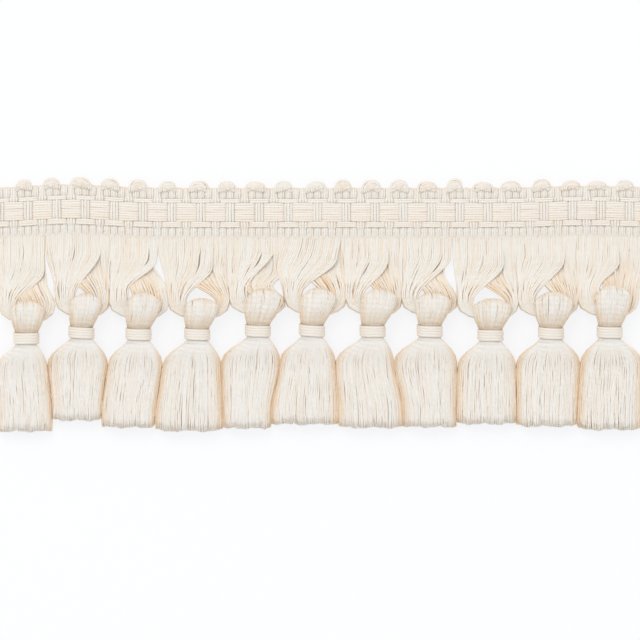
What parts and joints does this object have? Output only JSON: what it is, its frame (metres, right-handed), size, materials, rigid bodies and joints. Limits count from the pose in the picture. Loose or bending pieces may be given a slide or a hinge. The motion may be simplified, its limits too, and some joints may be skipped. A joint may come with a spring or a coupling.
{
  "type": "tassel fringe",
  "caption": "Cut length of cream tassel fringe: a woven heading with a scalloped edge, yarn loops gathered and crossed, and a row of tied tassels.",
  "frame": {"origin": "Centre of the trim's outline on the surface under it.", "axes": "+X along the heading, +Y from the skirts to the scalloped edge, +Z out of the face."},
  "size_m": [0.196, 0.0762, 0.0082],
  "materials": {
    "heading": "cream yarn, tightly woven",
    "loops": "cream yarn, soft sheen",
    "tassel": "cream yarn, brushed out",
    "tie": "cream thread, wound"
  },
  "bodies": {
    "root": {"heading": "heading", "loops": "loops", "tassel_01": "tassel", "tie_01": "tie", "tassel_02": "tassel", "tie_02": "tie", "tassel_03": "tassel", "tie_03": "tie", "tassel_04": "tassel", "tie_04": "tie", "tassel_05": "tassel", "tie_05": "tie", "tassel_06": "tassel", "tie_06": "tie", "tassel_07": "tassel", "tie_07": "tie", "tassel_08": "tassel", "tie_08": "tie", "tassel_09": "tassel", "tie_09": "tie", "tassel_10": "tassel", "tie_10": "tie", "tassel_11": "tassel", "tie_11": "tie"}
  },
  "joints": []
}
